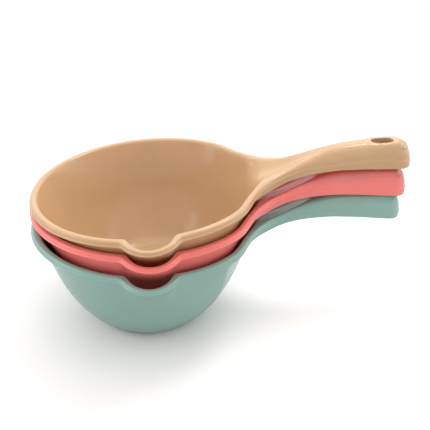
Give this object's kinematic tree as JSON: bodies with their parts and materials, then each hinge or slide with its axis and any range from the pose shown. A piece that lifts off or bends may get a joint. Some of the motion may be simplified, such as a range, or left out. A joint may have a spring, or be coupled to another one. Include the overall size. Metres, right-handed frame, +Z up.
{
  "type": "water dipper",
  "caption": "Nesting moulded water dippers with a round flared bowl, side pouring spout, rounded rim bead and a raised channel handle with a hang hole; each lifts out of the one below.",
  "frame": {"origin": "centre of the bottom dipper's base, on the table", "axes": "+X along the handles towards their ends, -Y on the spout side, +Z up"},
  "size_m": [0.3066, 0.1961, 0.1503],
  "materials": {
    "dipper_bottom": "moulded, soft gloss",
    "dipper_middle": "moulded, soft gloss",
    "dipper_top": "moulded, soft gloss"
  },
  "bodies": {
    "bottom": {"dipper_bottom": "dipper_bottom"},
    "middle": {"dipper_middle": "dipper_middle"},
    "top": {"dipper_top": "dipper_top"}
  },
  "joints": [
    {"name": "middle_lift", "type": "slide", "parent": "bottom", "child": "middle", "axis": [0, 0, 1], "range_m": [0, 0.11]},
    {"name": "top_lift", "type": "slide", "parent": "middle", "child": "top", "axis": [0, 0, 1], "range_m": [0, 0.11]}
  ]
}
